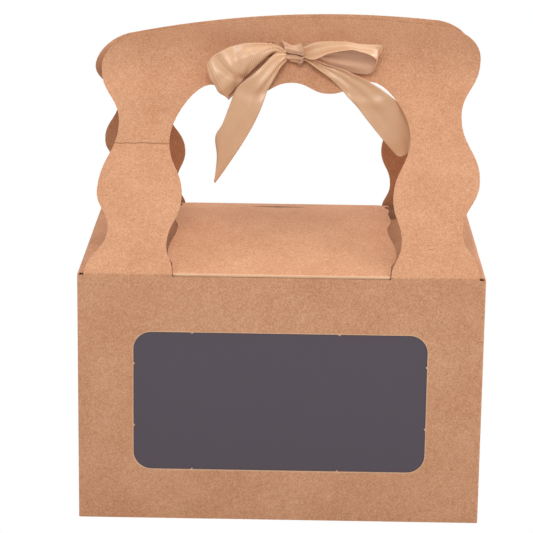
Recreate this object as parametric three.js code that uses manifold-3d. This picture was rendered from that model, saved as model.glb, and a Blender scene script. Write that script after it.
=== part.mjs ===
// A gable-handled gift box: one folded sheet of kraft card with a window, an arched lid between
// two wavy handles, and a satin ribbon that ties the handles together in a bow.
// Millimetres, +Z up, the window faces -Y, the origin is at the middle of the base.

import * as THREE from 'three';
import { mergeVertices } from 'three/addons/utils/BufferGeometryUtils.js';
import Module from 'manifold-3d';

const wasm = await Module();
wasm.setup();

// The box
const WIDTH = 160;
const DEPTH = 117;
const HEIGHT = 101.4;
const CARD = 0.5;
const FOLD_RADIUS = 0.9;
const SEAT_GAP = 0.3;

// The window and its film
const WINDOW_WIDTH = 116;
const WINDOW_HEIGHT = 57;
const WINDOW_ABOVE_BASE = 20.8;
const WINDOW_CORNER = 7.2;
const FILM_MARGIN = 6;
const FILM_THICK = 0.2;
const NICK_RADIUS = 0.45;
const NICKS_ALONG = [-0.3, 0.2];
const NICKS_UP = [-0.18, 0.27];

// The handles: width at each wave, and how far up the sheet it lies
const LEG_ROOT = { half: 77.5, up: 0 };
const OUTER_WAVES = [
  { half: 70.0, up: 20 },
  { half: 76.1, up: 39.5 },
  { half: 68.9, up: 68.5 },
  { half: 76.9, up: 94 },
];
const CROWN_CORNER = { half: 63, below: 4.8 };
const ARCH_ROOT = { half: 42.8, up: 0 };
const ARCH_WAVES = [
  { half: 46.3, up: 14 },
  { half: 42.0, up: 34 },
  { half: 48.4, up: 60 },
  { half: 32.5, up: 85.3 },
  { half: 16, up: 80.2 },
  { half: 0, up: 85.6 },
];
const BRIDGE_GAP = 0.4;
const SHIFT_REACHED_AT = 45;
const KINK_UP = 57;
const KINK_ENDS = 79;

// How each handle stands, in degrees from upright: lean at its crease and below its bend, and how far it is
// out of true. The front one is straight with a soft fold in its left leg, and the back one is bowed.
const FRONT = { low: 38, high: 38, bend: 25, length: 112, shift: 2.4, tilt: 2.8, tiltedBy: 40, kink: 1.2 };
const BACK = { low: 24, high: 50, bend: 16, length: 114, shift: -0.7, tilt: 4.4, tiltedBy: 100, kink: 0 };
const CROWN_SPARE = 6;
const RIBBON_HOLE = 3.4;
const RIBBON_HOLE_APART = 17;
const RIBBON_HOLE_UP = 99;

// The arched lid and the flap below it
const ROOF_RISE = 12;
const LID_ROOT = { half: 41, up: 0 };
const LID_WAVES = [
  { half: 45.3, up: 15 },
  { half: 42.4, up: 38 },
  { half: 44.1, up: 50 },
];
const LID_END = { half: 41.6, up: 79 };
const LID_CORNER = 3;
const TAB_WIDTH = 21;
const TAB_DROP = 6.5;
const SLIT_WIDTH = 1.7;
const SLIT_LENGTH = 25;
const LAYER_GAP = 0.4;

// The dust flaps at the sides
const DUST_REACH = 41;
const DUST_DROP = 3;
const DUST_SET_IN = 2.2;
const DUST_TAPER = 9;
const DUST_CORNER = 12;

// The glued base and the glued corner
const BASE_SIDE_REACH = 52;
const BASE_SLIT = 0.4;
const BASE_HOOK = 9;
const GLUE_TAB = 14;
const GLUE_TAPER = 6;

// The ribbon: the knot's middle, its loops, its tails and the bundles that pass through the handles
const RIBBON_WIDTH = 12.5;
const RIBBON_THICK = 0.4;
const KNOT_ASIDE = 0.6;
const KNOT_UP = 98.5;
const KNOT = { wide: 7.2, tall: 7.8, deep: 5.2, round: 1.8 };
const LOOPS = [
  { side: -1, long: 32, fat: 6.4, drop: 14, splay: 15 },
  { side: 1, long: 34, fat: 6.4, drop: 1, splay: 10 },
];
const LOOP_SEAT = 0.75;
const LOOP_SUNK = 1;
const BUNDLE = 1.2;
const BAR_TALL = 4.4;
const BAR_DEEP = 1.4;
const TAIL_ROOT = { off: 2, below: 3 };
const TAILS = [
  { knee: { off: 3, below: 14.5 }, hang: { ahead: 0.8, below: 54.5 } },
  { knee: { off: 3, below: 15.5 }, hang: { ahead: 0.5, below: 43 } },
];
const LEFT_TAIL = [
  [-3, 0], [-20, 12.6], [-25.2, 25], [-29.8, 33], [-30.8, 54], [-17, 32.6], [-9.6, 14], [-2.6, 3.6],
];
const RIGHT_TAIL = [
  [2.6, 1.6], [11, 3.8], [26, 7.6], [32.4, 11.4], [39, 17.6], [45, 27], [47.2, 40.6], [42.4, 40.2],
  [37.6, 34], [28.8, 22.8], [20.6, 14.4], [9.2, 5.2],
];

const radians = THREE.MathUtils.degToRad;
const HALF_DEPTH = DEPTH / 2;
const HALF_WIDTH = WIDTH / 2;

// Solids

function solidOf(geometry) {
  geometry.deleteAttribute('normal');
  geometry.deleteAttribute('uv');
  const merged = mergeVertices(geometry, 1e-4);
  return new wasm.Manifold(new wasm.Mesh({
    numProp: 3,
    vertProperties: new Float32Array(merged.attributes.position.array),
    triVerts: new Uint32Array(merged.index.array),
  }));
}

function meshOf(name, solid, material) {
  const { numProp, vertProperties, triVerts } = solid.getMesh();
  const positions = [];
  for (let i = 0; i < vertProperties.length; i += numProp) {
    positions.push(vertProperties[i], vertProperties[i + 1], vertProperties[i + 2]);
  }
  const geometry = new THREE.BufferGeometry();
  geometry.setAttribute('position', new THREE.Float32BufferAttribute(positions, 3));
  geometry.setIndex(Array.from(triVerts));
  geometry.computeVertexNormals();
  const mesh = new THREE.Mesh(geometry, material);
  mesh.name = name;
  return mesh;
}

function extrude(shape, depth) {
  return new THREE.ExtrudeGeometry(shape, { depth, bevelEnabled: false, curveSegments: 12 });
}

// A shape drawn in (y, z), extruded from x0 to x1
function alongX(shape, x0, x1) {
  const geometry = extrude(shape, x1 - x0);
  const turn = new THREE.Matrix4().makeBasis(
    new THREE.Vector3(0, 1, 0), new THREE.Vector3(0, 0, 1), new THREE.Vector3(1, 0, 0));
  geometry.applyMatrix4(turn);
  geometry.translate(x0, 0, 0);
  return solidOf(geometry);
}

// A shape drawn in (x, z), extruded from y0 to y1
function alongY(shape, y0, y1) {
  const geometry = extrude(shape, y1 - y0);
  geometry.rotateX(Math.PI / 2);
  geometry.translate(0, y1, 0);
  return solidOf(geometry);
}

// A shape drawn in (x, y), extruded from z0 to z1
function alongZ(shape, z0, z1) {
  const geometry = extrude(shape, z1 - z0);
  geometry.translate(0, 0, z0);
  return solidOf(geometry);
}

// Outlines

function polygon(points) {
  return new THREE.Shape(points.map(([u, v]) => new THREE.Vector2(u, v)));
}

function roundedRect(u0, v0, u1, v1, r) {
  const shape = new THREE.Shape();
  shape.moveTo(u0 + r, v0);
  shape.lineTo(u1 - r, v0);
  shape.absarc(u1 - r, v0 + r, r, -Math.PI / 2, 0);
  shape.lineTo(u1, v1 - r);
  shape.absarc(u1 - r, v1 - r, r, 0, Math.PI / 2);
  shape.lineTo(u0 + r, v1);
  shape.absarc(u0 + r, v1 - r, r, Math.PI / 2, Math.PI);
  shape.lineTo(u0, v0 + r);
  shape.absarc(u0 + r, v0 + r, r, Math.PI, Math.PI * 1.5);
  return shape;
}

// One wave from a to b, where both ends run along the sheet
function wave(path, a, b, stiff = 0.46) {
  const reach = (b.up - a.up) * stiff;
  path.bezierCurveTo(
    a.half, a.up + reach,
    b.half, b.up - reach,
    b.half, b.up);
}

// One wave from a to b, where both ends run across the sheet
function waveAcross(path, a, b, stiff = 0.46) {
  const reach = (b.half - a.half) * stiff;
  path.bezierCurveTo(
    a.half + reach, a.up,
    b.half - reach, b.up,
    b.half, b.up);
}

// From the side of the handle round into its crown, or from the side of the arch into its top
function shoulder(path, a, b) {
  path.bezierCurveTo(
    a.half, a.up + (b.up - a.up) * 0.4,
    a.half + (b.half - a.half) * 0.6, b.up,
    b.half, b.up);
}

function mirrored(points) {
  return points.slice().reverse().map((point) => new THREE.Vector2(-point.x, point.y));
}

// Half of the handle's outer edge, from the crease to the middle of the crown
function outerHalf(length) {
  const path = new THREE.Path();
  path.moveTo(LEG_ROOT.half, -CARD * 4);
  path.lineTo(LEG_ROOT.half, LEG_ROOT.up);
  [LEG_ROOT, ...OUTER_WAVES].reduce((a, b) => {
    wave(path, a, b);
    return b;
  });
  const lobe = OUTER_WAVES.at(-1);
  const corner = length - CROWN_CORNER.below;
  path.bezierCurveTo(
    lobe.half, lobe.up + (corner - lobe.up) * 0.55,
    CROWN_CORNER.half + 7, corner - 1.6,
    CROWN_CORNER.half, corner);
  path.quadraticCurveTo(CROWN_CORNER.half * 0.5, length, 0, length);
  return path.getPoints(9);
}

// Half of the arch below the hand grip, from the crease to the middle of its top
function archHalf() {
  const path = new THREE.Path();
  path.moveTo(ARCH_ROOT.half, -CARD * 4);
  path.lineTo(ARCH_ROOT.half, ARCH_ROOT.up);
  const [low, neck, wide, lobe, bump, middle] = ARCH_WAVES;
  wave(path, ARCH_ROOT, low);
  wave(path, low, neck);
  wave(path, neck, wide);
  shoulder(path, wide, lobe);
  waveAcross(path, lobe, bump);
  waveAcross(path, bump, middle);
  return path.getPoints(9);
}

function closedAcross(half) {
  return [...half, ...mirrored(half).slice(1)];
}

// A sheet's path in (y, z): it starts at a point with a heading, runs straight and turns

function heads(angle) {
  return new THREE.Vector2(Math.cos(angle), Math.sin(angle));
}

function sheetPath(start, heading, moves) {
  const points = [start.clone()];
  let angle = radians(heading);
  for (const { run = 0, turn = 0, radius = 1 } of moves) {
    const from = points.at(-1).clone();
    if (run > 0) points.push(from.add(heads(angle).multiplyScalar(run)));
    const total = radians(turn);
    const steps = Math.ceil(Math.abs(turn) / (radius > 5 ? 3.5 : 18));
    for (let i = 0; i < steps; i += 1) {
      const half = total / steps / 2;
      angle += half;
      const chord = 2 * radius * Math.sin(Math.abs(half));
      points.push(points.at(-1).clone().add(heads(angle).multiplyScalar(chord)));
      angle += half;
    }
  }
  return points;
}

// The closed section of a sheet that follows a path
function sheetSection(path, thick) {
  const sides = path.map((point, i) => {
    const before = path[Math.max(i - 1, 0)];
    const after = path[Math.min(i + 1, path.length - 1)];
    const a = point.clone().sub(before).normalize();
    const b = after.clone().sub(point).normalize();
    const along = a.add(b).normalize();
    const flat = i === 0 || i === path.length - 1 ? 1 : along.dot(after.clone().sub(point).normalize());
    return new THREE.Vector2(along.y, -along.x).multiplyScalar(thick / 2 / flat);
  });
  const right = path.map((point, i) => point.clone().add(sides[i]));
  const left = path.map((point, i) => point.clone().sub(sides[i])).reverse();
  return new THREE.Shape([...right, ...left]);
}

// The point of a path that lies a given way along it, counted from a start index
function placeAlong(path, first, distance) {
  let left = distance;
  for (let i = first; i < path.length - 1; i += 1) {
    const step = path[i + 1].clone().sub(path[i]);
    const length = step.length();
    if (left <= length || i === path.length - 2) {
      return path[i].clone().add(step.multiplyScalar(left / length));
    }
    left -= length;
  }
  return path.at(-1).clone();
}

// The handles

function handlePath({ low, high, bend, length }, kink = 0) {
  const middle = radians((low + high) / 2);
  const bow = radians(high - low) / 2;
  const bowed = bow === 0 ? 1 : Math.sin(bow) / bow;
  const folds = FOLD_RADIUS * (1 - Math.cos(radians(low))) + bend * (1 - Math.cos(radians(high)));
  const leg = (HALF_DEPTH - CARD - BRIDGE_GAP / 2 - folds) / (Math.sin(middle) * bowed);
  const back = kink * KINK_UP / (KINK_ENDS - KINK_UP);
  const straightLeg = [
    { run: KINK_UP },
    { turn: kink + back, radius: CARD },
    { run: KINK_ENDS - KINK_UP },
    { turn: -back, radius: CARD },
    { run: leg - KINK_ENDS },
  ];
  const bowedLeg = [{ turn: low - high, radius: leg / Math.max(bow * 2, 1e-6) }];
  return sheetPath(new THREE.Vector2(-HALF_DEPTH + CARD / 2, HEIGHT - FOLD_RADIUS * 2), 90, [
    { run: FOLD_RADIUS * 2 - CARD },
    { turn: -low - kink, radius: FOLD_RADIUS },
    ...(bow === 0 ? straightLeg : bowedLeg),
    { turn: high, radius: bend },
    { run: length + CROWN_SPARE - leg - bend * radians(high) },
  ]);
}

const FRONT_PATH = handlePath(FRONT);
const BACK_PATH = handlePath(BACK);
const HOLE_HEIGHT = placeAlong(FRONT_PATH, 1, RIBBON_HOLE_UP).y;

// Draws an edge that was set out on the flat sheet where the leaning sheet stands
function stand(points, path, { shift, tilt, tiltedBy }) {
  return points.map(({ x, y }) => {
    const grown = THREE.MathUtils.clamp(y / tiltedBy, 0, 1);
    const up = y + tilt * (x / HALF_WIDTH) * grown;
    const aside = shift * THREE.MathUtils.clamp(y / SHIFT_REACHED_AT, 0, 1);
    const z = up < 0 ? HEIGHT + up : placeAlong(path, 1, up).y;
    return new THREE.Vector2(x + aside, z);
  });
}

function handle(stance) {
  const { length, shift, kink } = stance;
  const plain = handlePath(stance);
  const [edge, opening] = [outerHalf(length), archHalf()].map((half) => (
    new THREE.Shape(stand(closedAcross(half), plain, stance))));
  const outer = alongY(edge, -HALF_DEPTH - 1, 1);
  const arch = alongY(opening, -HALF_DEPTH - 2, 2);
  const right = alongX(sheetSection(plain, CARD), shift - 1, WIDTH);
  const left = alongX(sheetSection(handlePath(stance, kink), CARD), -WIDTH, shift);
  const sheet = right.add(left).intersect(outer).subtract(arch);
  return [-1, 1].reduce((solid, side) => {
    const hole = new THREE.Shape();
    hole.absarc(shift + side * RIBBON_HOLE_APART / 2, HOLE_HEIGHT, RIBBON_HOLE, 0, Math.PI * 2);
    return solid.subtract(alongY(hole, -HALF_DEPTH, 2));
  }, sheet);
}

// The roof: the lid and, below it, the flap that the lid's tab locks into

const ROOF_RADIUS = (HALF_DEPTH ** 2 + ROOF_RISE ** 2) / (2 * ROOF_RISE);
const ROOF_START = THREE.MathUtils.radToDeg(Math.asin(HALF_DEPTH / ROOF_RADIUS));
const HINGE = new THREE.Vector2(-HALF_DEPTH + CARD / 2, HEIGHT - CARD / 2);

function roofPath(length, start) {
  const turn = THREE.MathUtils.radToDeg(length / ROOF_RADIUS);
  return sheetPath(start, ROOF_START, [{ turn: -turn, radius: ROOF_RADIUS }]);
}

function lidOutline(path) {
  const edge = new THREE.Path();
  edge.moveTo(LID_ROOT.half, LID_ROOT.up);
  const [lobe, neck, cusp] = LID_WAVES;
  wave(edge, LID_ROOT, lobe);
  wave(edge, lobe, neck);
  wave(edge, neck, cusp);
  edge.lineTo(LID_END.half, LID_END.up - LID_CORNER);
  edge.quadraticCurveTo(LID_END.half, LID_END.up, LID_END.half - LID_CORNER, LID_END.up);
  const half = edge.getPoints(8);
  return new THREE.Shape(closedAcross(half).map(({ x, y }) => (
    new THREE.Vector2(x, placeAlong(path, 0, y).x))));
}

function lidSheet(start) {
  const path = roofPath(LID_END.up + 1, start);
  const section = sheetSection(path, CARD);
  return alongX(section, -WIDTH, WIDTH).intersect(alongZ(lidOutline(path), 0, HEIGHT * 2));
}

function lidTip() {
  return placeAlong(roofPath(LID_END.up + 1, HINGE), 0, LID_END.up);
}

// The tab is part of a ring about the hinge, so that it draws straight out of its slit
function lidTab() {
  const reach = lidTip().sub(HINGE);
  const radius = reach.length() - CARD / 2;
  const top = reach.angle() + CARD / 2 / radius;
  const bottom = top - TAB_DROP / radius;
  const ring = new THREE.Shape();
  ring.absarc(HINGE.x, HINGE.y, radius + CARD / 2, bottom, top, false);
  ring.absarc(HINGE.x, HINGE.y, radius - CARD / 2, top, bottom, true);
  const tongue = new THREE.Shape();
  const half = TAB_WIDTH / 2;
  tongue.moveTo(half, HEIGHT * 2);
  tongue.lineTo(-half, HEIGHT * 2);
  const foot = HINGE.y + radius * Math.sin(bottom) - CARD * 2;
  tongue.lineTo(-half, foot + half * 0.7);
  tongue.lineTo(-half + half * 0.35, foot);
  tongue.lineTo(half - half * 0.35, foot);
  tongue.lineTo(half, foot + half * 0.7);
  return alongX(ring, -WIDTH, WIDTH).intersect(alongY(tongue, -DEPTH, DEPTH));
}

function lidFlap() {
  const knuckle = new THREE.Shape();
  knuckle.absarc(HINGE.x, HINGE.y, CARD / 2, 0, Math.PI * 2);
  return lidSheet(HINGE).add(alongX(knuckle, -LID_ROOT.half, LID_ROOT.half)).add(lidTab());
}

function backFlap() {
  const start = new THREE.Vector2(HINGE.x, HINGE.y - CARD - LAYER_GAP);
  const tip = lidTip();
  const slit = roundedRect(
    -SLIT_LENGTH / 2, -tip.x - SLIT_WIDTH / 2 + CARD / 2,
    SLIT_LENGTH / 2, -tip.x + SLIT_WIDTH / 2 + CARD / 2, SLIT_WIDTH * 0.45);
  return lidSheet(start).subtract(alongZ(slit, 0, HEIGHT * 2));
}

// The walls, the base and the flaps

function walls() {
  const outside = roundedRect(-HALF_WIDTH, -HALF_DEPTH, HALF_WIDTH, HALF_DEPTH, FOLD_RADIUS);
  const inside = roundedRect(
    -HALF_WIDTH + CARD, -HALF_DEPTH + CARD, HALF_WIDTH - CARD, HALF_DEPTH - CARD, FOLD_RADIUS - CARD);
  const top = HEIGHT - FOLD_RADIUS;
  const shell = alongZ(outside, 0, top).subtract(alongZ(inside, -1, HEIGHT));
  return shell.subtract(windowHole());
}

function windowHole() {
  const base = WINDOW_ABOVE_BASE;
  const half = WINDOW_WIDTH / 2;
  const opening = roundedRect(-half, base, half, base + WINDOW_HEIGHT, WINDOW_CORNER);
  const hole = alongY(opening, -HALF_DEPTH - 1, -HALF_DEPTH + 1);
  const nicks = [
    ...NICKS_ALONG.flatMap((part) => (
      [base, base + WINDOW_HEIGHT].map((z) => [part * WINDOW_WIDTH, z]))),
    ...NICKS_UP.flatMap((part) => {
      const z = base + WINDOW_HEIGHT * (0.5 + part);
      return [[-half, z], [half, z]];
    }),
  ];
  return nicks.reduce((solid, [x, z]) => {
    const nick = new THREE.Shape();
    nick.absarc(x, z, NICK_RADIUS, 0, Math.PI * 2);
    return solid.subtract(alongY(nick, -HALF_DEPTH - 2, -HALF_DEPTH + 2));
  }, hole);
}

// The two outer base flaps meet along a hooked line, and two side flaps are glued on them
function base() {
  const inset = CARD / 2;
  const plate = alongZ(polygon([
    [-HALF_WIDTH + inset, -HALF_DEPTH + inset], [HALF_WIDTH - inset, -HALF_DEPTH + inset],
    [HALF_WIDTH - inset, HALF_DEPTH - inset], [-HALF_WIDTH + inset, HALF_DEPTH - inset],
  ]), 0, CARD);
  const run = HALF_WIDTH - CARD - FOLD_RADIUS;
  const line = [
    [-run, -BASE_HOOK], [-BASE_HOOK, -BASE_HOOK], [BASE_HOOK, BASE_HOOK], [run, BASE_HOOK],
  ];
  const slit = polygon([
    ...line, ...line.slice().reverse().map(([x, y]) => [x, y + BASE_SLIT]),
  ]);
  return sideBaseFlaps().reduce((solid, flap) => solid.add(flap), plate.subtract(alongZ(slit, -1, CARD + 1)));
}

function sideBaseFlaps() {
  const root = HALF_WIDTH - CARD / 2;
  const tip = HALF_WIDTH - BASE_SIDE_REACH;
  const half = HALF_DEPTH - CARD * 3;
  return [-1, 1].map((side) => {
    const points = [
      [side * root, -half], [side * tip, -half + BASE_SIDE_REACH * 0.55],
      [side * tip, half - BASE_SIDE_REACH * 0.55], [side * root, half],
    ];
    return alongZ(polygon(side > 0 ? points.reverse() : points), CARD / 2, CARD * 2);
  });
}

function glueTab() {
  const y = HALF_DEPTH - CARD / 2;
  const tab = polygon([
    [y, CARD * 3], [y, HEIGHT - FOLD_RADIUS * 3],
    [y - GLUE_TAB, HEIGHT - FOLD_RADIUS * 3 - GLUE_TAPER], [y - GLUE_TAB, CARD * 3 + GLUE_TAPER],
  ]);
  return alongX(tab, -HALF_WIDTH + CARD / 2, -HALF_WIDTH + CARD * 2);
}

function dustFlap(side) {
  const path = sheetPath(new THREE.Vector2(-HALF_WIDTH + CARD / 2, HEIGHT - FOLD_RADIUS * 2), 90, [
    { run: FOLD_RADIUS - CARD },
    { turn: -90 - DUST_DROP, radius: FOLD_RADIUS },
    { run: DUST_REACH },
  ]);
  const sheet = alongY(sheetSection(path, CARD), -HALF_DEPTH, HALF_DEPTH);
  const root = -HALF_WIDTH - 1;
  const tip = -HALF_WIDTH + DUST_REACH;
  const half = HALF_DEPTH - DUST_SET_IN;
  const plan = new THREE.Shape();
  plan.moveTo(root, -half);
  plan.lineTo(-HALF_WIDTH + FOLD_RADIUS * 2, -half);
  plan.lineTo(tip - DUST_CORNER, -half + DUST_TAPER);
  plan.quadraticCurveTo(tip, -half + DUST_TAPER, tip, -half + DUST_TAPER + DUST_CORNER);
  plan.lineTo(tip, half - DUST_TAPER - DUST_CORNER);
  plan.quadraticCurveTo(tip, half - DUST_TAPER, tip - DUST_CORNER, half - DUST_TAPER);
  plan.lineTo(-HALF_WIDTH + FOLD_RADIUS * 2, half);
  plan.lineTo(root, half);
  const flap = sheet.intersect(alongZ(plan, 0, HEIGHT + 1));
  return side < 0 ? flap : flap.mirror([1, 0, 0]);
}

// The strip of front wall below the lid stops short of the lid's hinge
function hingeRelief() {
  const clear = CARD / 2 + SEAT_GAP;
  const half = LID_ROOT.half + SEAT_GAP;
  return alongX(polygon([
    [-HALF_DEPTH - 1, HINGE.y - clear], [-HALF_DEPTH + CARD * 3, HINGE.y - clear],
    [-HALF_DEPTH + CARD * 3, HEIGHT + 1], [-HALF_DEPTH - 1, HEIGHT + 1],
  ]), -half, half);
}

function carton() {
  const front = handle(FRONT);
  const back = handle(BACK).mirror([0, 1, 0]);
  return [base(), glueTab(), dustFlap(-1), dustFlap(1), front, back]
    .reduce((solid, piece) => solid.add(piece), walls())
    .subtract(hingeRelief())
    .add(backFlap().mirror([0, 1, 0]));
}

function windowFilm() {
  const half = WINDOW_WIDTH / 2 + FILM_MARGIN;
  const sheet = roundedRect(
    -half, WINDOW_ABOVE_BASE - FILM_MARGIN, half, WINDOW_ABOVE_BASE + WINDOW_HEIGHT + FILM_MARGIN, 1);
  return alongY(sheet, -HALF_DEPTH + CARD, -HALF_DEPTH + CARD + FILM_THICK);
}

// The ribbon: both handles are tied through their holes, with the knot and the bow in front

const KNOT_AT = { x: FRONT.shift + KNOT_ASIDE, z: placeAlong(FRONT_PATH, 1, KNOT_UP).y };

// How far from the middle the face of a leaning handle lies at height z
function faceAt(z, path = FRONT_PATH) {
  const upper = path.findIndex((point, i) => i > 2 && point.y >= z);
  const [a, b] = [path[upper - 1], path[upper]];
  const part = (z - a.y) / (b.y - a.y);
  return -(a.x + (b.x - a.x) * part) + CARD / 2;
}

function bowLoop({ side, long, fat, drop, splay }) {
  const band = new THREE.Shape();
  band.absellipse(long / 2, 0, long / 2, fat / 2, 0, Math.PI * 2);
  const inside = new THREE.Path();
  inside.absellipse(long / 2, 0, long / 2 - RIBBON_THICK, fat / 2 - RIBBON_THICK, 0, Math.PI * 2);
  band.holes.push(inside);
  const geometry = extrude(band, RIBBON_WIDTH);
  geometry.translate(0, 0, -RIBBON_WIDTH / 2);
  geometry.rotateZ(-radians(splay));
  geometry.rotateY(radians(drop));
  const loop = solidOf(geometry);
  const turned = side < 0 ? loop.mirror([1, 0, 0]) : loop;
  const front = faceAt(KNOT_AT.z - KNOT.tall / 2) + SEAT_GAP + KNOT.deep * LOOP_SEAT;
  return turned.translate([KNOT_AT.x + side * (KNOT.wide / 2 - LOOP_SUNK), -front, KNOT_AT.z]);
}

// A tail leaves the knot, follows the face of the handle down to a knee and hangs from there
function bowTail(outline, { knee, hang }) {
  const lying = [TAIL_ROOT, knee].map(({ off, below }) => (
    new THREE.Vector2(-faceAt(KNOT_AT.z - below) - off, KNOT_AT.z - below)));
  const path = [...lying, new THREE.Vector2(lying[1].x - hang.ahead, KNOT_AT.z - hang.below)];
  const shape = polygon(outline.map(([x, below]) => [KNOT_AT.x + x, KNOT_AT.z - below]));
  return alongX(sheetSection(path, RIBBON_THICK), -WIDTH, WIDTH).intersect(alongY(shape, -DEPTH, 0));
}

// The ribbon between the handles: a bar in front of them and one behind, joined through the holes
function tie(low) {
  const middle = (FRONT.shift + BACK.shift) / 2;
  const half = RIBBON_HOLE_APART / 2;
  const ahead = faceAt(low) + SEAT_GAP;
  const behind = faceAt(low, BACK_PATH) + SEAT_GAP;
  const barLow = HOLE_HEIGHT - BAR_TALL / 2;
  const bar = roundedRect(middle - half - BUNDLE, barLow, middle + half + BUNDLE, barLow + BAR_TALL, BUNDLE);
  const bundles = [-half, half].map((x) => {
    const round = new THREE.Shape();
    round.absarc(middle + x, HOLE_HEIGHT, BUNDLE, 0, Math.PI * 2);
    return alongY(round, -ahead - BAR_DEEP / 2, behind + BAR_DEEP / 2);
  });
  return [alongY(bar, -ahead - BAR_DEEP, -ahead), alongY(bar, behind, behind + BAR_DEEP), ...bundles];
}

function ribbon() {
  const low = KNOT_AT.z - KNOT.tall / 2;
  const back = -faceAt(low) - SEAT_GAP;
  const face = roundedRect(
    KNOT_AT.x - KNOT.wide / 2, low, KNOT_AT.x + KNOT.wide / 2, low + KNOT.tall, KNOT.round);
  const tails = [bowTail(LEFT_TAIL, TAILS[0]), bowTail(RIGHT_TAIL, TAILS[1])];
  return [...tie(low), ...LOOPS.map(bowLoop), ...tails]
    .reduce((solid, piece) => solid.add(piece), alongY(face, back - KNOT.deep, back));
}

// Finish

const kraft = new THREE.MeshStandardMaterial({ color: 0xc3916f, roughness: 0.85, metalness: 0 });
const film = new THREE.MeshStandardMaterial({
  color: 0x574f57, roughness: 0.2, metalness: 0, transparent: true, opacity: 0.6,
});
const satin = new THREE.MeshStandardMaterial({ color: 0xc8a47a, roughness: 0.4, metalness: 0 });

const box = new THREE.Group();
box.add(meshOf('carton', carton(), kraft));
box.add(meshOf('lid_flap', lidFlap(), kraft));
box.add(meshOf('window_film', windowFilm(), film));
box.add(meshOf('ribbon', ribbon(), satin));

export default box;
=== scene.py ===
"""The looks of a windowed gift box of kraft card, with a satin ribbon tied in a bow on its handles."""

import math

import bmesh
import bpy
from mathutils import Matrix, Vector, noise
from mathutils.bvhtree import BVHTree


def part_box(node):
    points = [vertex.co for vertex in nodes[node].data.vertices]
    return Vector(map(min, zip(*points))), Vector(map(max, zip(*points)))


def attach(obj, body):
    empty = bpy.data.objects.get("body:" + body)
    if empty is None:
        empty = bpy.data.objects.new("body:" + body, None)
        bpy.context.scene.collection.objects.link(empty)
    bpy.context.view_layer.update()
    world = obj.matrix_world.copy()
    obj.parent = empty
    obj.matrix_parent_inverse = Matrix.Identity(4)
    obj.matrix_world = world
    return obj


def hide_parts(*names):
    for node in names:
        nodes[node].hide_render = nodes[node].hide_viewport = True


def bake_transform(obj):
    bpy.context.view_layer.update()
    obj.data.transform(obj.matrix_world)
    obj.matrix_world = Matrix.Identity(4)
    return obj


MM = 0.001
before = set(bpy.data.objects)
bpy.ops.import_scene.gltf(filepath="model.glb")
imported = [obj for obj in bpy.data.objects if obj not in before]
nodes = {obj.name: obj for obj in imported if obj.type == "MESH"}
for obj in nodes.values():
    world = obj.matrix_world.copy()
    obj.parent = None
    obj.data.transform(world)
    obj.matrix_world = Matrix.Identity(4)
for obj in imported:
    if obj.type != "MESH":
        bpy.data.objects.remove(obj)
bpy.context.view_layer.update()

# Corners read from the frame
CARTON_LOW, CARTON_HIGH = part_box("carton")
LID_LOW, LID_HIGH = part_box("lid_flap")
FILM_LOW, FILM_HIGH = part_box("window_film")

# The photograph's camera: a target on the middle plane, then angles in degrees and sizes in millimetres
CAMERA = {
    "target": Vector((-6.466, -8.5, 91.975)) * MM,
    "azimuth": 0.665,
    "elevation": 14.712,
    "roll": 0.727,
    "distance": 959.39 * MM,
    "lens": 157.1,
    "sensor": 36.0,
}

# Colours, as they are in full light, apart from the painted highlight on the cut edges and folds and the
# painted shade of one fold line and the lid's slit
KRAFT_DARK = "#BC825E"
KRAFT_LIGHT = "#DAA682"
KRAFT_FIBRE = "#8A6045"
KRAFT_PALE_FIBRE = "#EBC9A8"
KRAFT_CUT_AND_HIGHLIGHT = "#E8C6A4"
# Painted shade: the dark line along the fold of the front handle's left leg
KRAFT_FOLD_PAINTED_SHADE = "#8F5F41"
# Painted shade: the dark of the lid's slit, drawn into the card's colour
KRAFT_SLIT_PAINTED_SHADE = "#4A2C1C"
FILM_TINT = "#5C535C"
SATIN = "#E6B78F"
SATIN_SHADE = "#C8956C"
SATIN_THREAD = "#B5865F"
SATIN_BACK = "#D3A585"
WHITE = "#FFFFFF"
FLOOR = "#B4B4B4"

# The ribbon as it comes off the reel: its width and its thickness
RIBBON_WIDTH = 12.5 * MM
RIBBON_THICK = 0.24 * MM

# The card: its thickness, the lid's fold, the creases and the angle in degrees from which an edge is crisp
CARD = 0.5 * MM
FOLD_HALF = 42.5 * MM
FOLD_RADIUS = 0.6 * MM
CREASE_HEIGHT = 101.4 * MM
SHARP_ANGLE = 32

# The places of what is drawn in the card's material
LEG_FOLD_HEIGHT = 145.9 * MM
LEG_FOLD_WANDER = 2.2 * MM
SLIT_X = (-12.6 * MM, 8.6 * MM)
SLIT_Y = 9.5 * MM
SLIT_TAPER = 1.5 * MM
LID_FAR_EDGE = 19.0 * MM
FILM_MARGIN = 6 * MM
WINDOW_CORNER = 7.2 * MM

# Where each drawn line fades out and where it is full, as distances from its middle
RIM_FADE = (0.50 * MM, 0.15 * MM)
SLIT_FADE = (1.25 * MM, 0.80 * MM)
LEG_FOLD_FADE = (0.34 * MM, 0.10 * MM)

# The card's patterns: waves per millimetre, detail and roughness. The grain, at about 0.7 mm, is drawn
# coarser than single fibres, so that it shows
CLOUDS = (0.06, 2.0, 0.5)
MOTTLES = (0.42, 3.0, 0.5)
GRAIN = (1.5, 2.0, 0.75)
FIBRE_CUT = 0.71

# The satin's threads, 0.87 mm apart, are drawn coarser than real ones, so that they show
THREADS_PER_METRE = 1150.0
WAVE_AT_SCALE_ONE = math.pi / 10


def srgb(text):
    """A hex colour as linear red, green, blue and a full alpha."""
    parts = [int(text[i:i + 2], 16) / 255 for i in (1, 3, 5)]
    linear = [c / 12.92 if c <= 0.04045 else ((c + 0.055) / 1.055) ** 2.4 for c in parts]
    return (*linear, 1.0)


def new_material(name):
    material = bpy.data.materials.new(name)
    material.use_nodes = True
    material.node_tree.nodes.clear()
    return material


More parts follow.
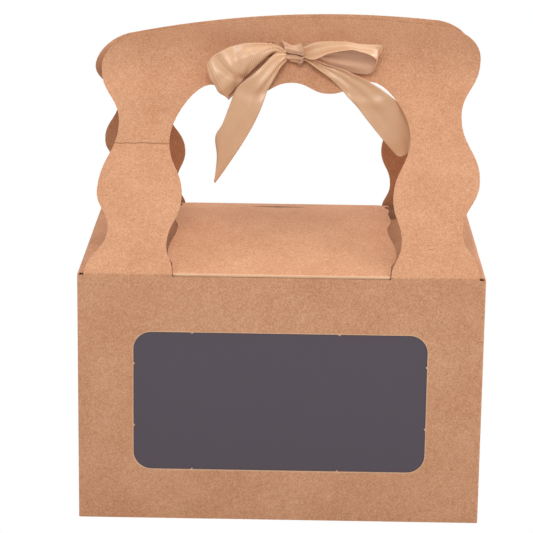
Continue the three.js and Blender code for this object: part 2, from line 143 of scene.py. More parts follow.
def add(tree, kind, *values, out=0, sockets=None, **settings):
    """Adds a node with its settings, gives its inputs values or links, and returns the output asked for."""
    node = tree.nodes.new(kind)
    for name, value in settings.items():
        setattr(node, name, value)
    for key, value in [*enumerate(values), *(sockets or {}).items()]:
        if isinstance(value, bpy.types.NodeSocket):
            tree.links.new(value, node.inputs[key])
        else:
            node.inputs[key].default_value = value
    return node.outputs[out] if len(node.outputs) else None


# Masks in the card, each 1 on one feature and 0 elsewhere

def all_of(tree, *masks):
    whole = masks[0]
    for mask in masks[1:]:
        whole = add(tree, "ShaderNodeMath", whole, mask, operation="MULTIPLY")
    return whole


def any_of(tree, *masks):
    whole = masks[0]
    for mask in masks[1:]:
        whole = add(tree, "ShaderNodeMath", whole, mask, operation="MAXIMUM")
    return whole


def within(tree, value, low, high):
    """1 where a value lies between two limits."""
    return all_of(tree, add(tree, "ShaderNodeMath", value, low, operation="GREATER_THAN"),
                  add(tree, "ShaderNodeMath", value, high, operation="LESS_THAN"))


def distance_from(tree, value, middle):
    off = add(tree, "ShaderNodeMath", value, middle, operation="SUBTRACT")
    return add(tree, "ShaderNodeMath", off, operation="ABSOLUTE")


def cut_edges_and_highlights(tree, place):
    """The thin cut edges of the handles, the lid and the window, told by which way they face, with the lid's
    far fold and the window's rim: paler cut fibre with a painted highlight on it.
    """
    normal = add(tree, "ShaderNodeNewGeometry", out="True Normal")
    nx, ny, nz = add(tree, "ShaderNodeSeparateXYZ", normal, out=slice(3))
    x, y, z = add(tree, "ShaderNodeSeparateXYZ", place, out=slice(3))
    # Cut faces turned sideways and, in the handles, upwards: paler cut fibre with a painted highlight
    sideways = add(tree, "ShaderNodeMath", distance_from(tree, nx, 0), 0.08, operation="GREATER_THAN")
    above_crease = add(tree, "ShaderNodeMath", z, CREASE_HEIGHT + 1.5 * MM, operation="GREATER_THAN")
    upward = add(tree, "ShaderNodeMath", nz, 0.9, operation="GREATER_THAN")
    in_handles = add(tree, "ShaderNodeMath", z, LID_HIGH.z + 40 * MM, operation="GREATER_THAN")
    # A painted highlight on the lid's far fold, where it turns down
    far_fold_highlight = all_of(tree, within(tree, y, LID_FAR_EDGE, LID_FAR_EDGE + 1.2 * MM),
                      within(tree, z, LID_HIGH.z - 1.2 * MM, LID_HIGH.z + 1 * MM))
    # The window's cut faces: paler cut fibre with a painted highlight
    edgewise = add(tree, "ShaderNodeMath", distance_from(tree, ny, 0), 0.5, operation="LESS_THAN")
    in_front_wall = add(tree, "ShaderNodeMath", y, CARTON_LOW.y + 0.6 * MM, operation="LESS_THAN")
    round_window = all_of(tree, edgewise, in_front_wall, within(tree, x, FILM_LOW.x, FILM_HIGH.x),
                          within(tree, z, FILM_LOW.z, FILM_HIGH.z))
    # A painted highlight along the window's rim on the front face
    rim = all_of(tree, window_rim_highlight(tree, x, z), in_front_wall, 0.8)
    return any_of(tree, all_of(tree, sideways, above_crease), all_of(tree, upward, in_handles), far_fold_highlight,
                  round_window, rim)


def window_rim_highlight(tree, x, z):
    """A thin painted highlight along the edge of the window, a rectangle with rounded corners."""
    outside, past = [], []
    for value, low, high in ((x, FILM_LOW.x, FILM_HIGH.x), (z, FILM_LOW.z, FILM_HIGH.z)):
        half = (high - low) / 2 - FILM_MARGIN - WINDOW_CORNER
        past.append(add(tree, "ShaderNodeMath", distance_from(tree, value, (low + high) / 2), half,
                        operation="SUBTRACT"))
        outside.append(add(tree, "ShaderNodeMath", past[-1], 0, operation="MAXIMUM"))
    corner = add(tree, "ShaderNodeVectorMath", add(tree, "ShaderNodeCombineXYZ", *outside), out="Value",
                 operation="LENGTH")
    inside = add(tree, "ShaderNodeMath", any_of(tree, *past), 0, operation="MINIMUM")
    reach = add(tree, "ShaderNodeMath", corner, inside, operation="ADD")
    off = distance_from(tree, reach, WINDOW_CORNER)
    return add(tree, "ShaderNodeMapRange", off, *RIM_FADE)


def lid_slit_painted_shade(tree, place):
    """The thin closed slit across the top of the lid near its far fold, which tapers to both ends, drawn as a
    dark line of painted shade where the slit's opening would be shadowed.
    """
    x, y, z = add(tree, "ShaderNodeSeparateXYZ", place, out=slice(3))
    left, right = SLIT_X
    taper = add(tree, "ShaderNodeMath", distance_from(tree, x, (left + right) / 2),
                SLIT_TAPER / (right - left), operation="MULTIPLY")
    off = add(tree, "ShaderNodeMath", distance_from(tree, y, SLIT_Y), taper, operation="ADD")
    line = add(tree, "ShaderNodeMapRange", off, *SLIT_FADE)
    on_top = within(tree, z, LID_HIGH.z - 0.6 * MM, LID_HIGH.z + 1 * MM)
    return all_of(tree, line, within(tree, x, left, right), on_top)


def leg_fold_painted_shade(tree, place):
    """A thin, uneven line of painted shade where the left leg of the front handle was once folded, standing
    in for the shade of the slight kink there.
    """
    x, y, z = add(tree, "ShaderNodeSeparateXYZ", place, out=slice(3))
    only_x = add(tree, "ShaderNodeCombineXYZ", x)
    wander = add(tree, "ShaderNodeTexNoise", sockets={"Vector": only_x, "Scale": 0.13 / MM, "Detail": 3.0})
    wander = add(tree, "ShaderNodeMath", wander, 0.5, operation="SUBTRACT")
    height = add(tree, "ShaderNodeMath", wander, LEG_FOLD_WANDER, LEG_FOLD_HEIGHT, operation="MULTIPLY_ADD")
    off = add(tree, "ShaderNodeMath", z, height, operation="SUBTRACT")
    line = add(tree, "ShaderNodeMapRange", distance_from(tree, off, 0), *LEG_FOLD_FADE)
    left = add(tree, "ShaderNodeMath", x, -30 * MM, operation="LESS_THAN")
    front = add(tree, "ShaderNodeMath", y, -15 * MM, operation="LESS_THAN")
    return all_of(tree, line, left, front)


def fibres(tree, place, turn, along, across):
    """Short thin strokes: the tops of a noise that is swirled and stretched one way."""
    turned = add(tree, "ShaderNodeMapping", sockets={
        "Vector": place, "Rotation": (turn, turn * 0.7, turn * 1.3)})
    swirl = add(tree, "ShaderNodeTexNoise", out="Color", sockets={
        "Vector": place, "Scale": 0.12 / MM, "Detail": 1.0})
    shift = add(tree, "ShaderNodeVectorMath", swirl, sockets={"Scale": 3 * MM}, operation="SCALE")
    bent = add(tree, "ShaderNodeVectorMath", turned, swirl, shift, operation="MULTIPLY_ADD")
    stretched = add(tree, "ShaderNodeVectorMath", bent, (along / MM, across / MM, across / MM),
                    operation="MULTIPLY")
    strokes = add(tree, "ShaderNodeTexNoise", sockets={"Vector": stretched, "Scale": 1.0, "Detail": 0.0})
    return add(tree, "ShaderNodeMapRange", strokes, FIBRE_CUT, FIBRE_CUT + 0.05)


# Materials

def kraft_card():
    """Uncoated kraft board of unbleached pulp: dull, grainy and a little cloudy, with short fibres in it,
    pale where it is cut, torn or creased, with a painted highlight on its cut edges and folds, and painted
    shade along one fold and one slit."""
    m = new_material("kraft_card")
    tree = m.node_tree
    place = add(tree, "ShaderNodeTexCoord", out="Object")
    clouds, mottles, grain = (
        add(tree, "ShaderNodeTexNoise", sockets={
            "Vector": place, "Scale": per_mm / MM, "Detail": detail, "Roughness": roughness})
        for per_mm, detail, roughness in (CLOUDS, MOTTLES, GRAIN))
    tone = 0.0
    for value, share in ((clouds, 0.20), (mottles, 0.14), (grain, 0.66)):
        tone = add(tree, "ShaderNodeMath", value, share, tone, operation="MULTIPLY_ADD")
    worn_and_highlight = add(tree, "ShaderNodeAttribute", out="Fac", attribute_name="worn_and_highlight")
    layers = [
        (add(tree, "ShaderNodeMapRange", tone, 0.36, 0.64), 1.0, KRAFT_LIGHT),
        (fibres(tree, place, turn=0.6, along=0.20, across=1.7), 0.36, KRAFT_FIBRE),
        (fibres(tree, place, turn=2.2, along=0.24, across=1.9), 0.26, KRAFT_PALE_FIBRE),
        # Pale cut edges, torn tips and creases: the card's paler cut fibre, with a painted highlight on the
        # edges, the window's rim and the folds
        (any_of(tree, cut_edges_and_highlights(tree, place), worn_and_highlight), 0.6, KRAFT_CUT_AND_HIGHLIGHT),
        # Painted shade: the dark line along the left leg's fold
        (leg_fold_painted_shade(tree, place), 0.7, KRAFT_FOLD_PAINTED_SHADE),
        # Painted shade: the dark line of the lid's slit
        (lid_slit_painted_shade(tree, place), 1.0, KRAFT_SLIT_PAINTED_SHADE),
    ]
    colour = srgb(KRAFT_DARK)
    for mask, strength, shade in layers:
        colour = add(tree, "ShaderNodeMix", out=2, data_type="RGBA", sockets={
            0: all_of(tree, mask, strength), 6: colour, 7: srgb(shade)})
    bump = add(tree, "ShaderNodeBump", sockets={"Height": grain, "Strength": 0.22, "Distance": 0.05 * MM})
    shader = add(tree, "ShaderNodeBsdfPrincipled", sockets={
        "Base Color": colour, "Roughness": 0.82, "Normal": bump, "Specular IOR Level": 0.25})
    add(tree, "ShaderNodeOutputMaterial", shader)
    return m


def window_film():
    """Clear polyester film, cast and slightly slack: it looks dark over the unlit box, with a soft gloss."""
    m = new_material("window_film")
    tree = m.node_tree
    place = add(tree, "ShaderNodeTexCoord", out="Object")
    slack = add(tree, "ShaderNodeTexNoise", sockets={"Vector": place, "Scale": 0.03 / MM, "Detail": 1.0})
    bump = add(tree, "ShaderNodeBump", sockets={"Height": slack, "Strength": 0.15, "Distance": 0.4 * MM})
    dark = add(tree, "ShaderNodeBsdfPrincipled", sockets={
        "Base Color": srgb(FILM_TINT), "Roughness": 0.32, "Normal": bump, "Specular IOR Level": 0.35})
    clear = add(tree, "ShaderNodeBsdfTransparent")
    add(tree, "ShaderNodeOutputMaterial", add(tree, "ShaderNodeMixShader", 0.9, clear, dark))
    return m


def satin():
    """Woven polyester satin: fine threads across the ribbon, a long sheen on the face and a matte back."""
    m = new_material("satin_ribbon")
    tree = m.node_tree
    along = add(tree, "ShaderNodeUVMap", uv_map="ribbon")
    thread = add(tree, "ShaderNodeTexWave", out="Fac", wave_type="BANDS", bands_direction="Y", sockets={
        "Vector": along, "Scale": THREADS_PER_METRE * WAVE_AT_SCALE_ONE, "Distortion": 0.6, "Detail": 1.0})
    soft = add(tree, "ShaderNodeTexNoise", sockets={"Vector": along, "Scale": 0.16 / MM, "Detail": 2.0})
    back = add(tree, "ShaderNodeAttribute", out="Fac", attribute_name="matte_side")
    colour = srgb(SATIN)
    for mask, shade in ((all_of(tree, soft, 0.35), SATIN_SHADE), (back, SATIN_BACK),
                        (all_of(tree, thread, 0.40), SATIN_THREAD)):
        colour = add(tree, "ShaderNodeMix", out=2, data_type="RGBA", sockets={
            0: mask, 6: colour, 7: srgb(shade)})
    roughness = add(tree, "ShaderNodeMath", back, 0.3, 0.39, operation="MULTIPLY_ADD")
    bump = add(tree, "ShaderNodeBump", sockets={"Height": thread, "Strength": 0.15, "Distance": 0.04 * MM})
    across = add(tree, "ShaderNodeTangent", direction_type="UV_MAP", uv_map="ribbon")
    shader = add(tree, "ShaderNodeBsdfPrincipled", sockets={
        "Base Color": colour, "Roughness": roughness, "Normal": bump, "Tangent": across,
        "Sheen Weight": 0.15, "Sheen Roughness": 0.4, "Specular IOR Level": 0.85, "Anisotropic": 0.6})
    add(tree, "ShaderNodeOutputMaterial", shader)
    return m


# The ribbon, as strips between two edges in millimetres: each row is a cross-section, from its upper or
# outer edge to its other edge, as (x, y, z) and (x, y, z)

LOOP_LEFT = [
    ((-0.4, -5.2, 182.0), (-0.9, -6.6, 179.3)),
    ((-5.4, -6.4, 184.1), (-4.8, -8.2, 180.8)),
    ((-12.2, -7.8, 184.8), (-9.6, -9.6, 177.4)),
    ((-19.5, -9.4, 184.2), (-14.4, -10.6, 172.6)),
    ((-25.6, -11.8, 182.0), (-19.0, -11.2, 167.2)),
    ((-30.0, -13.2, 178.6), (-22.4, -11.4, 163.4)),
    ((-31.5, -12.0, 176.0), (-22.6, -10.6, 161.9)),
    ((-29.4, -9.6, 176.6), (-21.2, -9.2, 163.0)),
    ((-22.0, -7.2, 179.8), (-15.6, -8.0, 168.6)),
    ((-12.0, -5.4, 182.2), (-8.8, -6.4, 174.6)),
    ((-1.0, -4.4, 181.6), (-1.2, -5.0, 178.4)),
]
LOOP_RIGHT = [
    ((6.4, -5.0, 182.6), (6.6, -6.0, 179.2)),
    ((12.4, -6.6, 185.4), (11.6, -9.2, 178.5)),
    ((21.3, -8.6, 186.0), (18.2, -12.6, 181.4)),
    ((30.2, -10.6, 185.4), (27.0, -15.0, 183.0)),
    ((37.2, -10.8, 185.2), (33.6, -14.6, 181.8)),
    ((38.8, -9.2, 183.9), (36.6, -12.4, 178.6)),
    ((37.9, -6.8, 180.6), (35.2, -9.0, 173.6)),
    ((33.2, -5.0, 181.0), (30.2, -7.2, 172.6)),
    ((22.0, -3.8, 181.6), (20.6, -5.8, 174.6)),
    ((12.0, -3.4, 181.6), (11.6, -4.8, 177.4)),
    ((6.8, -3.6, 181.4), (6.8, -4.4, 178.4)),
]
TAIL_LEFT = [
    ((-0.6, -6.4, 181.6), (0.4, -6.2, 177.2)),
    ((-4.4, -9.8, 180.6), (-2.6, -8.4, 174.2)),
    ((-9.4, -12.8, 176.1), (-5.8, -10.8, 168.6)),
    ((-14.4, -13.8, 171.6), (-8.0, -11.8, 163.0)),
    ((-19.4, -13.4, 166.9), (-10.0, -12.2, 157.6)),
    ((-22.4, -12.6, 159.4), (-13.0, -12.2, 151.0)),
    ((-25.0, -11.8, 152.2), (-17.0, -12.0, 144.0)),
    ((-27.8, -10.9, 146.6), (-20.5, -11.6, 138.4)),
    ((-27.2, -10.4, 138.2), (-24.4, -10.9, 132.4)),
    ((-28.0, -10.2, 129.0), (-27.9, -10.3, 127.4)),
]
TAIL_RIGHT = [
    ((6.4, -5.0, 180.2), (6.2, -5.0, 177.6)),
    ((11.0, -7.2, 178.6), (8.8, -6.4, 177.4)),
    ((17.0, -9.2, 176.8), (13.0, -7.6, 174.8)),
    ((24.0, -10.2, 174.8), (18.4, -8.6, 170.6)),
    ((30.4, -10.4, 171.8), (23.5, -9.2, 165.7)),
    ((36.4, -9.9, 168.6), (28.2, -9.4, 161.0)),
    ((41.6, -9.4, 165.2), (33.4, -9.6, 154.4)),
    ((46.6, -8.8, 160.6), (38.8, -9.6, 147.8)),
    ((50.8, -8.4, 154.6), (43.2, -9.4, 142.6)),
    ((52.8, -8.4, 147.6), (46.0, -9.2, 139.6)),
    ((52.6, -8.4, 141.0), (47.8, -9.0, 139.2)),
]


# The knot's middle and the ribbon holes of the two handles, in millimetres
KNOT = Vector((3.0, -4.7, 180.3))
KNOT_HALF_DEEP = 2.3
KNOT_HALF_HIGH = 3.9
FRONT_HOLES = [Vector((-6.1, -0.7, 180.67)), Vector((10.9, -0.7, 180.67))]
BACK_HOLES = [Vector((-9.2, 0.7, 180.67)), Vector((7.8, 0.7, 180.67))]
PLEAT_POINTS = 54
PLEATS = 9
GATHERED_RADIUS = 3.3


def spline(points, t):
    """A point of a Catmull-Rom curve through the points, at t from 0 to 1."""
    last = len(points) - 1
    place = min(t * last, last - 1e-6)
    i = int(place)
    f = place - i
    a, b, c, d = (points[min(max(i + k, 0), last)] for k in (-1, 0, 1, 2))
    return 0.5 * ((2 * b) + (c - a) * f + (2 * a - 5 * b + 4 * c - d) * f * f
                  + (3 * b - a - 3 * c + d) * f ** 3)


def strip(rows, along=72, wide=16, cup=0.0, ripple=0.25, seed=0.0, turned=False, folds=(), fray=0.0,
          pleats=0.0, ends=1):
    """A strip of ribbon through the rows, cupped across its width, lightly creased along it, folded in at
    each (place, slant, depth, spread) of folds and pleated where it leaves the knot, at one or both ends.
    Its satin face looks the other way if it is turned."""
    upper, lower = ([Vector(row[edge]) * MM for row in rows] for edge in (0, 1))

    def place(s, t):
        a, b = spline(upper, t), spline(lower, t)
        ahead, behind = min(t + 0.01, 1), max(t - 0.01, 0)
        run = spline(upper, ahead) + spline(lower, ahead) - spline(upper, behind) - spline(lower, behind)
        rise = cup * math.sin(math.pi * s) + noise.noise(Vector((s * 3.4 + seed, t * 5.5, seed))) * ripple
        for fold_at, slant, depth, spread in folds:
            rise -= depth * math.exp(-((t - fold_at - slant * s * s) / spread) ** 2)
        from_knot = t if ends == 1 else min(t, 1 - t) * 1.4
        gather = math.exp(-(from_knot / 0.34) ** 2) * min(from_knot / 0.06, 1)
        rise += pleats * gather * math.sin(2 * math.pi * (2.3 * s + 0.4 * from_knot) + seed)
        torn = noise.noise(Vector((s * 9, t * 60, seed + 3))) * fray * abs(2 * s - 1) ** 3
        out, outward = (b - a).normalized(), run.cross(b - a).normalized()
        return a.lerp(b, s) + outward * (rise + torn) * MM + out * torn * MM

    bm = bmesh.new()
    uv = bm.loops.layers.uv.new("ribbon")
    mirror = Matrix.Diagonal((-1 if turned else 1, 1, 1, 1))
    bmesh.ops.create_grid(bm, x_segments=wide, y_segments=along, size=0.5, matrix=mirror)
    spots = {v: (round((v.co.x + 0.5) * wide), round((v.co.y + 0.5) * along)) for v in bm.verts}
    at = {spot: vert for vert, spot in spots.items()}
    for vert, (j, i) in spots.items():
        vert.co = place(j / wide, i / along)
    middles = [(at[0, i].co + at[wide, i].co) / 2 for i in range(along + 1)]
    lengths = [0.0]
    for a, b in zip(middles, middles[1:]):
        lengths.append(lengths[-1] + (b - a).length)
    for face in bm.faces:
        face.smooth = True
        for loop in face.loops:
            j, i = spots[loop.vert]
            loop[uv].uv = (j / wide * RIBBON_WIDTH, lengths[i])
    return bm


def thicken(bm):
    """Gives an open strip a matte back and closed edges, as one thin body."""
    matte = bm.verts.layers.float.new("matte_side")
    fronts = list(bm.verts)
    bm.normal_update()
    copied = bmesh.ops.duplicate(bm, geom=list(bm.verts) + list(bm.edges) + list(bm.faces))["vert_map"]
    backs = {front: copied[front] for front in fronts}
    for front, back in backs.items():
        half = front.normal * RIBBON_THICK / 2
        back[matte] = 1.0
        back.co = front.co - half
        front.co = front.co + half
    rim = [e.link_loops[0] for e in bm.edges if e.is_boundary and e.verts[0] in backs]
    for a, b in [(loop.vert, loop.link_loop_next.vert) for loop in rim]:
        bm.faces.new((b, a, backs[a], backs[b])).smooth = True
    bmesh.ops.recalc_face_normals(bm, faces=bm.faces)


def finished(name, bms, material):
    """One object from several bmeshes."""
    mesh = bpy.data.meshes.new(name)
    whole = bmesh.new()
    for bm in bms:
        part = bpy.data.meshes.new("part")
        bm.to_mesh(part)
        bm.free()
        whole.from_mesh(part)
        bpy.data.meshes.remove(part)
    whole.to_mesh(mesh)
    whole.free()
    mesh.materials.append(material)
    obj = bpy.data.objects.new(name, mesh)
    bpy.context.scene.collection.objects.link(obj)
    return obj


def knot_band():
    """The band that goes once round the knot, gathered, with crumpled edges."""
    rows = []
    steps = 14
    for i in range(steps + 1):
        angle = 2 * math.pi * i / steps * 0.97
        y = KNOT.y - math.cos(angle) * KNOT_HALF_DEEP
        z = KNOT.z + math.sin(angle) * KNOT_HALF_HIGH
        left = (KNOT.x - 3.8 + 0.5 * math.sin(3 * angle), y, z + 0.9)
        right = (KNOT.x + 4.0 + 0.5 * math.cos(2 * angle), y, z - 0.6)
        rows.append((left, right))
    return strip(rows, along=120, wide=28, cup=0.5, ripple=0.8, seed=4.2, turned=True, fray=1.1,
                 folds=[(0.06, 0.0, 0.5, 0.02), (0.93, 0.03, 0.5, 0.02)])


def gathered(hole, side, aim):
    """The ribbon as it comes out of a hole on one side of a handle, in pleats, and turns towards aim."""
    bm = bmesh.new()
    bm.loops.layers.uv.new("ribbon")
    bm.verts.layers.float.new("matte_side")
    circle = bmesh.ops.create_circle(bm, cap_ends=False, segments=PLEAT_POINTS, radius=GATHERED_RADIUS * MM)
    start = circle["verts"]
    for k, vert in enumerate(start):
        vert.co *= 0.96 + 0.04 * math.cos(PLEATS * 2 * math.pi * k / PLEAT_POINTS + hole.x)
    bmesh.ops.rotate(bm, verts=start, matrix=Matrix.Rotation(math.pi / 2, 3, "X"))
    bmesh.ops.translate(bm, verts=start, vec=(hole - Vector((0, side * 0.2, 0))) * MM)
    ring = list(bm.edges)
    bmesh.ops.edgenet_fill(bm, edges=ring)
    for shift, shrink in (((0, side * 1.1, 0), 0.97), ((aim * 2.6, side * 0.6, -0.3), 0.53)):
        new = bmesh.ops.extrude_edge_only(bm, edges=ring)["geom"]
        verts = [g for g in new if isinstance(g, bmesh.types.BMVert)]
        ring = [g for g in new if isinstance(g, bmesh.types.BMEdge)]
        middle = sum((v.co for v in verts), Vector()) / len(verts)
        bmesh.ops.scale(bm, verts=verts, vec=(shrink, 1, shrink), space=Matrix.Translation(-middle))
        bmesh.ops.translate(bm, verts=verts, vec=Vector(shift) * MM)
    bmesh.ops.edgenet_fill(bm, edges=ring)
    for face in bm.faces:
        face.smooth = len(face.verts) == 4
    bmesh.ops.recalc_face_normals(bm, faces=bm.faces)
    return bm


def back_bar():
    """The ribbon's stretch across the back handle, between its two holes."""
    rows = [
        ((-11.4, 0.9, 182.0), (-11.2, 0.9, 179.2)),
        ((-9.4, 2.3, 183.0), (-9.2, 2.3, 178.6)),
        ((-4.4, 2.6, 183.6), (-4.2, 2.9, 178.0)),
        ((-0.6, 2.4, 183.8), (-0.8, 2.9, 177.8)),
        ((3.6, 2.5, 183.6), (3.4, 2.9, 178.0)),
        ((8.2, 2.3, 183.0), (8.0, 2.3, 178.6)),
        ((10.2, 0.9, 182.0), (10.0, 0.9, 179.2)),
    ]
    return strip(rows, along=48, cup=-0.3, ripple=0.6, seed=7.7, turned=True)


def make_ribbon(material):
    strips = [
        strip(LOOP_LEFT, along=140, wide=24, cup=1.8, ripple=1.3, seed=1.3, turned=True, pleats=0.55, ends=2,
              folds=[(0.45, -0.12, 1.0, 0.022), (0.33, 0.08, 0.6, 0.03), (0.22, 0.10, 0.3, 0.02)]),
        strip(LOOP_RIGHT, along=110, wide=20, cup=0.6, ripple=0.8, seed=2.1, pleats=0.35, ends=2,
              folds=[(0.46, 0.02, 0.4, 0.02), (0.24, 0.06, 0.35, 0.03)]),
        strip(TAIL_RIGHT, wide=20, cup=0.7, ripple=0.8, seed=3.4, pleats=0.4,
              folds=[(0.62, -0.16, 0.8, 0.04), (0.36, 0.10, 0.4, 0.03)]),
        knot_band(),
        back_bar(),
    ]
    for bm in strips:
        thicken(bm)
    for holes, side in ((FRONT_HOLES, -1), (BACK_HOLES, 1)):
        middle = sum(hole.x for hole in holes) / 2
        strips += [gathered(hole, side, math.copysign(1, middle - hole.x)) for hole in holes]
    bow = finished("ribbon_bow", strips, material)
    hanging = strip(TAIL_LEFT, wide=20, cup=0.8, ripple=0.7, seed=5.5, turned=True, pleats=0.45,
                    folds=[(0.42, -0.14, 0.7, 0.05)])
    thicken(hanging)
    return bow, finished("ribbon_hanging_tail", [hanging], material)


# Small card pieces: the rolled fold of the lid and the teeth left where the window was broken out

def lid_fold(material):
    """The lid's fold, a soft round crease about the lid's axis that covers the gap below it."""
    bm = bmesh.new()
    worn_and_highlight = bm.verts.layers.float.new("worn_and_highlight")
    bmesh.ops.create_cone(bm, cap_ends=True, segments=16, radius1=FOLD_RADIUS, radius2=FOLD_RADIUS,
                          depth=2 * FOLD_HALF)
    long_edges = [e for e in bm.edges if e.calc_length() > FOLD_HALF]
    bmesh.ops.subdivide_edges(bm, edges=long_edges, cuts=89, use_grid_fill=True)
    bmesh.ops.rotate(bm, verts=bm.verts, matrix=Matrix.Rotation(math.pi / 2, 3, "Y"))
    for vert in bm.verts:
        uneven = 1 + 0.08 * noise.noise(Vector((vert.co.x * 350, vert.co.y * 900, vert.co.z * 900)))
        near_end = min((FOLD_HALF - abs(vert.co.x)) / FOLD_RADIUS, 1)
        size = uneven * (0.45 + 0.55 * math.sqrt(max(near_end, 0)))
        vert.co.y *= size
        vert.co.z *= size
        # Pale: crease whitening with a painted highlight along the fold
        vert[worn_and_highlight] = 0.8
    bmesh.ops.translate(bm, verts=bm.verts, vec=(0, LID_LOW.y + CARD / 2, LID_LOW.z + CARD / 2))
    for face in bm.faces:
        face.smooth = len(face.verts) == 4
    bmesh.ops.recalc_face_normals(bm, faces=bm.faces)
    return finished("lid_fold", [bm, lid_ear(-1), lid_ear(1)], material)


# The slip beside the fold: across from the middle, and back from the fold, in millimetres
EAR = [(40.6, 0.1), (42.6, 0.1), (42.7, 2.0), (42.9, 4.0), (43.1, 6.5), (41.6, 6.5), (41.0, 4.0), (40.6, 2.0)]
EAR_THICK = 0.36 * MM


def lid_ear(side):
    """The slip of card that widens the lid beside its fold, at one side."""
    lid = nodes["lid_flap"]
    surface = BVHTree.FromPolygons([lid.matrix_world @ v.co for v in lid.data.vertices],
                                   [tuple(p.vertices) for p in lid.data.polygons])
    bm = bmesh.new()
    bm.verts.layers.float.new("worn_and_highlight")
    tops = []
    for x, back in EAR:
        y = LID_LOW.y + (0.3 + back) * MM
        hit = surface.ray_cast(Vector((side * 38 * MM, y, LID_HIGH.z + 5 * MM)), Vector((0, 0, -1)))[0]
        tops.append(bm.verts.new((side * x * MM, y, hit.z - 0.06 * MM)))
    for k in range(len(EAR) // 2 - 1):
        bm.faces.new([tops[c] for c in (-k, k + 1, k + 2, -k - 1)])
    bmesh.ops.recalc_face_normals(bm, faces=bm.faces)
    bmesh.ops.solidify(bm, geom=list(bm.faces), thickness=EAR_THICK)
    if max(v.co.z for v in bm.verts) > max(v.co.z for v in tops) + 0.1 * MM:
        bmesh.ops.translate(bm, verts=bm.verts, vec=(0, 0, -EAR_THICK))
    bmesh.ops.recalc_face_normals(bm, faces=bm.faces)
    return bm


# A torn tip: along the window's edge and into the window, in millimetres
TOOTH = [(-0.40, -0.3), (0, -0.4), (0.40, -0.3), (0.30, 0.10), (0.16, 0.66), (-0.06, 0.50), (-0.26, 0.16)]


def window_teeth(material):
    """Small torn tips of card on the window's eight nubs, each pointing into the window."""
    low, high = FILM_LOW + Vector((1, 0, 1)) * FILM_MARGIN, FILM_HIGH - Vector((1, 0, 1)) * FILM_MARGIN
    wide, tall, middle = high.x - low.x, high.z - low.z, (low + high) / 2
    places = []
    for share in (-0.3, 0.2):
        places += [(share * wide, low.z, 0), (share * wide, high.z, 180)]
    for share in (-0.18, 0.27):
        z = middle.z + share * tall
        places += [(low.x, z, -90), (high.x, z, 90)]
    return finished("window_teeth", [tooth(*place) for place in places], material)


def tooth(x, z, turn):
    """One torn tip in the thickness of the front wall, turned to point into the window."""
    bm = bmesh.new()
    worn_and_highlight = bm.verts.layers.float.new("worn_and_highlight")
    outline = bm.faces.new([bm.verts.new((u * MM, 0, v * MM)) for u, v in TOOTH])
    back = bmesh.ops.extrude_face_region(bm, geom=[outline])["geom"]
    bmesh.ops.translate(bm, verts=[g for g in back if isinstance(g, bmesh.types.BMVert)],
                        vec=(0, CARD - 0.1 * MM, 0))
    bmesh.ops.rotate(bm, verts=bm.verts, matrix=Matrix.Rotation(-math.radians(turn), 3, "Y"))
    bmesh.ops.translate(bm, verts=bm.verts, vec=(x, CARTON_LOW.y + 0.05 * MM, z))
    for vert in bm.verts:
        vert[worn_and_highlight] = 0.7
    bmesh.ops.recalc_face_normals(bm, faces=bm.faces)
    return bm


# The camera, the light and the floor

def make_camera():
    az, el, roll = (math.radians(CAMERA[k]) for k in ("azimuth", "elevation", "roll"))
    back = Vector((math.sin(az) * math.cos(el), -math.cos(az) * math.cos(el), math.sin(el)))
    right = Vector((math.cos(az), math.sin(az), 0))
    up = back.cross(right)
    turned_right = right * math.cos(roll) + up * math.sin(roll)
    turned_up = up * math.cos(roll) - right * math.sin(roll)
    data = bpy.data.cameras.new("camera")
    data.sensor_width = CAMERA["sensor"]
    data.lens = CAMERA["lens"]
    data.clip_end = 20
    cam = bpy.data.objects.new("camera", data)
    bpy.context.scene.collection.objects.link(cam)
    axes = Matrix((turned_right, turned_up, back)).transposed().to_4x4()
    cam.matrix_world = Matrix.Translation(CAMERA["target"] + back * CAMERA["distance"]) @ axes
    bpy.context.scene.camera = cam


# Each lamp's place and size in metres and its power in watts; all of them look at the box's middle
LAMPS = {
    "key light": ((-0.02, -0.86, 0.60), (0.5, 0.4), 4.85),
    "fill light": ((0.9, -1.3, 0.6), (0.8, 0.8), 1.6),
    "top light": ((0.2, 0.25, 1.3), (1.0, 0.8), 3.9),
    "back light": ((0.1, 1.3, 0.5), (1.4, 0.8), 3.0),
    "left light": ((-1.1, 0.1, 0.8), (0.6, 0.6), 5.4),
    "right light": ((1.1, 0.1, 0.8), (0.6, 0.6), 8.6),
}
LAMP_AIM = Vector((0, 0, 0.1))


def make_light():
    for name, (place, size, power) in LAMPS.items():
        data = bpy.data.lights.new(name, "AREA")
        data.shape = "RECTANGLE"
        data.size, data.size_y = size
        data.energy = power
        data.color = srgb(WHITE)[:3]
        light = bpy.data.objects.new(name, data)
        light.location = place
        light.rotation_euler = (LAMP_AIM - Vector(place)).to_track_quat("-Z", "Y").to_euler()
        bpy.context.scene.collection.objects.link(light)


def make_surroundings():
    bpy.context.scene.view_settings.view_transform = "Standard"
    world = bpy.data.worlds.new("studio")
    bpy.context.scene.world = world
    world.use_nodes = True
    tree = world.node_tree
    tree.nodes.clear()
    to_camera = add(tree, "ShaderNodeBackground", srgb(WHITE), 1.0)
    to_object = add(tree, "ShaderNodeBackground", srgb(WHITE), 0.35)
    seen = add(tree, "ShaderNodeLightPath", out="Is Camera Ray")
    add(tree, "ShaderNodeOutputWorld", add(tree, "ShaderNodeMixShader", seen, to_object, to_camera))


def floor_material():
    """A white floor: plain white to the camera and a pale diffuse surface to the light."""
    m = new_material("studio_floor")
    tree = m.node_tree
    seen = add(tree, "ShaderNodeLightPath", out="Is Camera Ray")
    white = add(tree, "ShaderNodeEmission", srgb(WHITE), 1.0)
    pale = add(tree, "ShaderNodeBsdfDiffuse", srgb(FLOOR))
    add(tree, "ShaderNodeOutputMaterial", add(tree, "ShaderNodeMixShader", seen, pale, white))
    return m


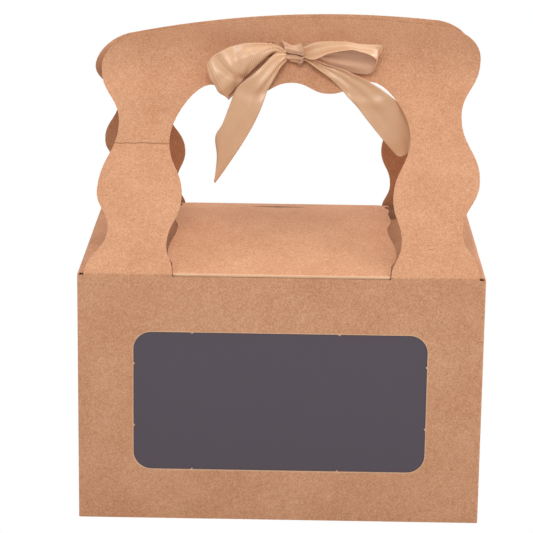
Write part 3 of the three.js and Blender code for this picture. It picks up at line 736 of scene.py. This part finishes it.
def make_floor():
    bm = bmesh.new()
    bmesh.ops.create_grid(bm, x_segments=1, y_segments=1, size=3.0,
                          matrix=Matrix.Translation((0, 0, -0.02 * MM)))
    finished("floor", [bm], floor_material())


# The card

def soft_bends():
    """A node group that welds a faceted sheet, smooths its bends and keeps its cut edges sharp."""
    known = bpy.data.node_groups.get("soft_bends")
    if known:
        return known
    group = bpy.data.node_groups.new("soft_bends", "GeometryNodeTree")
    group.interface.new_socket("Geometry", in_out="INPUT", socket_type="NodeSocketGeometry")
    group.interface.new_socket("Geometry", in_out="OUTPUT", socket_type="NodeSocketGeometry")
    sheet = add(group, "NodeGroupInput")
    sheet = add(group, "GeometryNodeMergeByDistance", sheet, sockets={"Distance": 0.0005 * MM})
    sheet = add(group, "GeometryNodeSetShadeSmooth", sheet, sockets={"Shade Smooth": True}, domain="FACE")
    angle = add(group, "GeometryNodeInputMeshEdgeAngle", out="Unsigned Angle")
    steep = add(group, "FunctionNodeCompare", angle, math.radians(SHARP_ANGLE), operation="GREATER_THAN")
    sheet = add(group, "GeometryNodeSetShadeSmooth", sheet, domain="EDGE", sockets={
        "Selection": steep, "Shade Smooth": False})
    add(group, "NodeGroupOutput", sheet)
    return group


def dress_card(obj, material):
    """Welds the card's faceted mesh and shades its bends smooth, with its folds and cut edges left crisp."""
    obj.data.materials.clear()
    obj.data.materials.append(material)
    soft = obj.modifiers.new("soft_bends", "NODES")
    soft.node_group = soft_bends()
    even = obj.modifiers.new("even_shading", "WEIGHTED_NORMAL")
    even.mode = "FACE_AREA"
    even.weight = 100
    even.keep_sharp = True


def main():
    card = kraft_card()
    for name in ("carton", "lid_flap"):
        dress_card(nodes[name], card)
    film = nodes["window_film"]
    film.data.materials.clear()
    film.data.materials.append(window_film())
    fold = lid_fold(card)
    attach(fold, "lid")
    teeth = window_teeth(card)
    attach(teeth, "box")
    bow, tail = make_ribbon(satin())
    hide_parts("ribbon")
    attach(bow, "box")
    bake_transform(tail)
    make_camera()
    make_light()
    make_surroundings()
    make_floor()


main()
